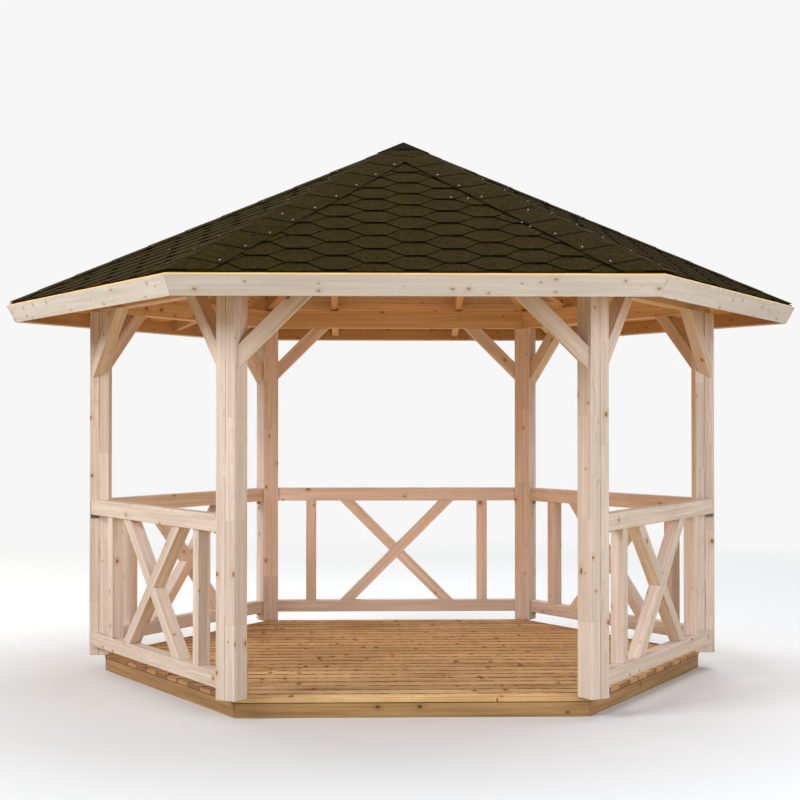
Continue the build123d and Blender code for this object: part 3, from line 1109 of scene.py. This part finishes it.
def roof_hub():
    """The six-sided post under the peak, with a face to each hip rafter and a pointed foot."""
    top = roof_height(0, -ROOF_BOARD)
    bottom = top - HUB_HEIGHT
    half = HUB_WIDTH / 2
    point = 0.018
    middle = (0, 0, (top + bottom) / 2)
    bpy.ops.mesh.primitive_cylinder_add(
        vertices=6, radius=half / cos(HALF_TURN), depth=HUB_HEIGHT, location=middle
    )
    hub = settled()
    for step in range(6):
        x, y = cos(TURN * step), sin(TURN * step)
        cut(hub, (0, 0, top), slope_normal(TURN * step + HALF_TURN))
        cut(hub, (x * half, y * half, bottom + point), Vector((x, y, -1.0)).normalized())
    roof_timber(hub, middle, axes(Z_AXIS, X_AXIS))
    finished([hub], "hub_timber", ROOF_SPRUCE, "spruce", "roof_hub")


# Roof covering. It is laid flat, x along the eave, y up the slope from the eave's outer top edge
# and z out of it, and then brought to its place in the entrance slope.

EAVE_EDGE = Vector((0, -EAVE_REACH, roof_height(EAVE_REACH)))
ON_SLOPE = at(EAVE_EDGE, axes(X_AXIS, slope_normal(-pi / 2)))


def roof_boards():
    """Tongued boards along the eave. Their joints show from below as small V grooves."""
    first = FASCIA_THICKNESS
    count = int((SLOPE_LENGTH - first) / ROOF_BOARD_COVER) + 1
    courses = []
    for number in range(count):
        low = first + number * ROOF_BOARD_COVER
        high = low + ROOF_BOARD_COVER
        corners = [(low, 0), (low, V_GROOVE - ROOF_BOARD), (low + V_GROOVE, -ROOF_BOARD),
                   (high - V_GROOVE, -ROOF_BOARD), (high, V_GROOVE - ROOF_BOARD), (high, 0)]
        board = plate([(-EAVE_REACH, y, z) for y, z in corners], (2 * EAVE_REACH, 0, 0))
        end_at_hips(place(board, ON_SLOPE), BOARD_MITRE)
        matrix = ON_SLOPE @ at((0, low + ROOF_BOARD_COVER / 2, -ROOF_BOARD / 2))
        courses.append(grain_along(board, matrix, 0.001))
    slope = joined(courses, "slope_boards")
    all_round(slope, BAYS, "lining_boards", ROOF_TIMBER, "roof_board_timber", "roof_boards")


def fascia():
    back, middle = FASCIA_THICKNESS / 2, -FASCIA_WIDTH / 2
    board, matrix = level_bar(EAVE_REACH, -back, middle, FASCIA_THICKNESS, FASCIA_WIDTH)
    end_at_hips(place(board, ON_SLOPE), BEAM_MITRE)
    grained = timber((board, ON_SLOPE @ matrix), FINE_ARRIS)
    all_round(grained, BAYS, "fascia_board", EAVE_SPRUCE, "spruce", "fascia")


def tab_strip(number):
    """One strip of six-cornered tabs, lying on the strip below and lifted by it."""
    low = FIRST_COURSE + number * COURSE
    spare = 0.05
    half = (SLOPE_LENGTH - low) * HIP_RUN + spare
    shift = 0.0 if number % 2 == 0 else TAB_PITCH / 2
    count = int(half / TAB_PITCH) + 2
    lift = STRIP_THICKNESS / COURSE
    corners = []
    for index in range(-count, count + 1):
        left = index * TAB_PITCH + shift - TAB_FLAT / 2
        right = left + TAB_FLAT
        corners += [(left - TAB_SLANT, COURSE), (left, 0), (right, 0), (right + TAB_SLANT, COURSE)]
    corners += [(corners[-1][0], STRIP_HEIGHT), (corners[0][0], STRIP_HEIGHT)]
    outline = [(x, low + y, (STRIP_HEIGHT - y) * lift + STRIP_CLEAR) for x, y in corners]
    return plate(outline, (0, 0, STRIP_THICKNESS))


def starter_strip(low):
    high = low + STARTER_WIDTH
    corners = [(-EAVE_REACH, low), (EAVE_REACH, low), (EAVE_REACH, high), (-EAVE_REACH, high)]
    return plate([(x, y, STRIP_CLEAR) for x, y in corners], (0, 0, STRIP_THICKNESS))


def shingled_slope():
    lowest = SHINGLE_SETBACK / cos(PITCH)
    highest = SLOPE_LENGTH - APEX_CAP_REACH * 0.75
    strips = [starter_strip(lowest)]
    number = -1
    while FIRST_COURSE + number * COURSE < highest:
        strips.append(cut(tab_strip(number), (0, lowest, 0), -Y_AXIS))
        number += 1
    for strip in strips:
        end_at_hips(place(strip, ON_SLOPE), STRIP_MITRE)
        grain_along(strip, ON_SLOPE)
    return joined(strips, "shingled_slope")


def shingles():
    slopes = six_of(shingled_slope(), 3.0)
    finished(slopes, "tab_shingles", SHINGLE, "bitumen_shingle", "shingles")


def wing(side):
    """Across the slope beside the hip over the X axis, square to the hip, and the slope's normal."""
    normal = slope_normal(side * HALF_TURN)
    across = normal.cross(HIP_DOWN)
    return (across if across.y * side > 0 else -across), normal


def flap(side, low, high):
    """One side of a strip folded over the hip, from its lower to its upper end."""
    across, normal = wing(side)
    spread = across * (HIP_CAP_WIDTH + random.uniform(-0.004, 0.003))
    skew = random.uniform(-0.006, 0.006)
    fold = 1 / normal.dot(HIP_UP)
    corners = [
        PEAK + HIP_DOWN * low + HIP_UP * CAP_LOWER_LIFT * fold,
        PEAK + HIP_DOWN * (low + skew) + spread + normal * CAP_LOWER_LIFT,
        PEAK + HIP_DOWN * (high + skew) + spread + normal * CAP_UPPER_LIFT,
        PEAK + HIP_DOWN * high + HIP_UP * CAP_UPPER_LIFT * fold,
    ]
    piece = plate(corners, normal * CAP_THICKNESS)
    next_hip = Vector((-sin(TURN), side * cos(TURN), 0))
    return cut(piece, NOWHERE, next_hip)


def hip_caps():
    """Strips of shingle folded over the hips, each lapping the one below, nailed at both ends."""
    caps, nails = [], []
    number = 0
    while CAP_LOWEST - number * CAP_STEP > APEX_CAP_REACH * 1.2:
        low = CAP_LOWEST - number * CAP_STEP
        high = max(low - CAP_LENGTH, CAP_HIGHEST)
        for side in (-1, 1):
            piece = flap(side, low, high)
            across, normal = wing(side)
            if number == 0:
                square = level(side * HALF_TURN)
                cut(piece, square * (EAVE_REACH - SHINGLE_SETBACK), square)
            caps.append(grain_along(piece, at(PEAK + HIP_DOWN * high, axes(HIP_DOWN, normal))))
            if number in NAILED[side]:
                lift = normal * (CAP_LOWER_LIFT + 0.0022)
                nails.append((PEAK + HIP_DOWN * (low - NAIL_UP) + across * NAIL_OFF + lift, normal))
        number += 1
    return caps, nails


def stray_nails(pattern):
    """Single heads on the front slopes, on the hip strips or beside them."""
    strays = []
    for post, side, along, off in STRAY_NAILS:
        across, normal = wing(side)
        on_strip = off < HIP_CAP_WIDTH - 0.01
        lift = CAP_LIFT + (0.0044 if on_strip else 0.0010)
        spot = PEAK + HIP_DOWN * along + across * off + normal * lift
        strays.append(copy_of(pattern, "stray_nail", turned(POSTS.index(post)) @ on_face(spot, normal)))
    return strays


def hips():
    caps, nails = hip_caps()
    pattern = nail_head()
    row = joined([copy_of(pattern, "nail", on_face(*nail)) for nail in nails], "nail_row")
    strays = stray_nails(pattern)
    remove(pattern)
    ridges = six_of(joined(caps, "ridge_caps"), 3.0)
    finished(ridges, "lapped_hip_caps", HIP_SHINGLE, "bitumen_shingle", "hip_caps")
    finished(six_of(row) + strays, "hip_nails", STEEL, "zinc_steel")


def apex_cap():
    """A six-sided cap folded over the ends of the hip strips, its corners on the hips."""
    edge = roof_height(APEX_CAP_REACH, APEX_CAP_LIFT)
    top = roof_height(0, APEX_CAP_LIFT)
    bpy.ops.mesh.primitive_cone_add(
        vertices=6, radius1=APEX_CAP_REACH / cos(HALF_TURN), radius2=0.0, depth=top - edge,
        end_fill_type="NOTHING", location=(0, 0, (top + edge) / 2), rotation=(0, 0, HALF_TURN),
    )
    cap = in_edit_mode(
        settled(),
        lambda: bpy.ops.mesh.remove_doubles(threshold=0.0001),
        lambda: bpy.ops.mesh.subdivide(number_cuts=2),
    )
    outward_faces(cap)
    modify(cap, "SOLIDIFY", thickness=CAP_THICKNESS, offset=1.0)
    grain_along(round_edges(cap, 0.0010), Matrix.Identity(4))
    finished([cap], "peak_cap", CAP, "dark_cap", "apex_cap")


# Small steel parts

ANGLE_LEG = 0.022
ANGLE_WIDTH = 0.048
ANGLE_THICKNESS = 0.0025


def screwed_angle():
    """An angle in the corner under a bar, with two screws up and two ahead."""
    leg, thick = ANGLE_LEG, ANGLE_THICKNESS
    section = [(0, 0), (leg, 0), (leg, -thick), (thick, -thick), (thick, -leg), (0, -leg)]
    angle = plate([(x, 0, z) for x, z in section], (0, ANGLE_WIDTH, 0))
    round_edges(angle, 0.0008, 1)
    head = nail_head(radius=0.0038)
    sunk = thick + 0.001
    screws = []
    for y in (ANGLE_WIDTH * 0.22, ANGLE_WIDTH * 0.78):
        up = at((leg * 0.6, y, -sunk), Matrix.Rotation(pi, 4, "X"))
        ahead = at((sunk, y, -leg * 0.6), axes(Z_AXIS, X_AXIS))
        screws += [copy_of(head, "screw", up), copy_of(head, "screw", ahead)]
    remove(head)
    return joined([angle] + screws, "angle")


def brackets():
    """Low, wide angles under the ends of the rails, screwed to the rail and to the post."""
    angle = screwed_angle()
    panels = []
    for height, steps in ((RAILING_TOP - TOP_RAIL, range(1, 6)), (RAILING_BOTTOM, range(2, 5))):
        made = []
        for side in (-1, 1):
            inwards = -hip_side(side)
            beside = -Y_AXIS - inwards * inwards.dot(-Y_AXIS)
            beside.normalize()
            corner = post_face(side) + beside * (POST_SIDE / 4 - 0.002)
            corner.z = height
            matrix = at(corner, axes(inwards, Z_AXIS)) @ at((0, -ANGLE_WIDTH / 2, 0))
            made.append(copy_of(angle, "bracket", matrix))
        panel = joined(made, "panel_brackets")
        panels += [copy_of(panel, "brackets", turned(step)) for step in steps]
        remove(panel)
    remove(angle)
    finished(panels, "rail_brackets", SCREW_STEEL, "zinc_steel")


random.seed(11)
deck_floor()
deck_screws()
deck_rim()
deck_joists()
posts()
ring_beams()
knee_braces()
railing()
hip_rafters()
jack_rafters()
roof_hub()
roof_boards()
fascia()
shingles()
hips()
apex_cap()
brackets()


# Floor, lights and camera

PALE = (0.93, 0.93, 0.93, 1)


def background(n):
    """1 for what the camera sees straight, in a mirror or through glass."""
    path = n.add("ShaderNodeLightPath")
    seen = n.math("MAXIMUM", path["Is Camera Ray"], path["Is Glossy Ray"])
    return n.math("MAXIMUM", seen, path["Is Transmission Ray"])


def ground():
    """A round floor that fades into the background far from the gazebo."""
    bpy.ops.mesh.primitive_circle_add(vertices=96, radius=60, fill_type="NGON")
    floor = bpy.context.object
    floor.name = "studio_floor"
    material, n, shader = new_material("studio_floor", 0.9)
    n.feed(shader, {"Base Color": n.mix(background(n), (0.47, 0.38, 0.21, 1), (0.74, 0.73, 0.72, 1))})
    glow = n.add("ShaderNodeEmission", {"Color": PALE, "Strength": 1.0})[0]
    away = n.add("ShaderNodeVectorMath", {0: n.place()}, operation="LENGTH")["Value"]
    far = n.ramp(away, 3.0, 11.0) * background(n)
    mixed = n.add("ShaderNodeMixShader", {0: far, 1: Signal(n, shader.outputs[0]), 2: glow})[0]
    n.feed(material.node_tree.nodes["Material Output"], {0: mixed})
    floor.data.materials.append(material)


def sky():
    world = bpy.context.scene.world or bpy.data.worlds.new("studio")
    bpy.context.scene.world = world
    world.use_nodes = True
    world.node_tree.nodes.clear()
    n = Nodes(world.node_tree)
    light = n.add("ShaderNodeBackground", {"Color": (0.84, 0.92, 1.0, 1), "Strength": 0.36})[0]
    seen = n.add("ShaderNodeBackground", {"Color": PALE, "Strength": 1.0})[0]
    mixed = n.add("ShaderNodeMixShader", {0: background(n), 1: light, 2: seen})[0]
    n.add("ShaderNodeOutputWorld", {0: mixed})


def lamp(name, spot, target, size, power, colour):
    bpy.ops.object.light_add(type="AREA", location=spot)
    made = bpy.context.object
    made.name = name
    made.data.size = size
    made.data.energy = power
    made.data.color = colour
    made.visible_camera = False
    made.rotation_euler = (Vector(target) - Vector(spot)).to_track_quat("-Z", "Y").to_euler()


def camera():
    """Stands where the photograph was taken from."""
    bpy.ops.object.camera_add(location=(-0.289, -9.449, 1.494), rotation=(pi / 2 + 0.01434, 0, -0.02836))
    eye = bpy.context.object
    eye.data.sensor_width = 36
    eye.data.lens = 70
    eye.data.clip_end = 200
    bpy.context.scene.camera = eye


ground()
sky()
lamp("key", (-9.0, -6.5, 6.8), (0, 0, 1.2), 5.0, 1020, (0.96, 0.98, 1.0))
lamp("fill", (5.2, -7.2, 3.0), (0, 0, 1.2), 4.0, 310, (0.89, 0.94, 1.0))
lamp("overhead", (2.5, 3.0, 9.5), (0, 0, 1.0), 9.0, 950, (0.95, 0.97, 1.0))
lamp("behind", (-7.5, 8.0, 4.2), (0, 0, 0.2), 4.0, 330, (1.0, 0.94, 0.82))
lamp("reflector", (0, 0, 0.16), (0, 0, 2.0), 2.2, 12, (1.0, 0.52, 0.16))
camera()
bpy.context.scene.view_settings.view_transform = "Standard"
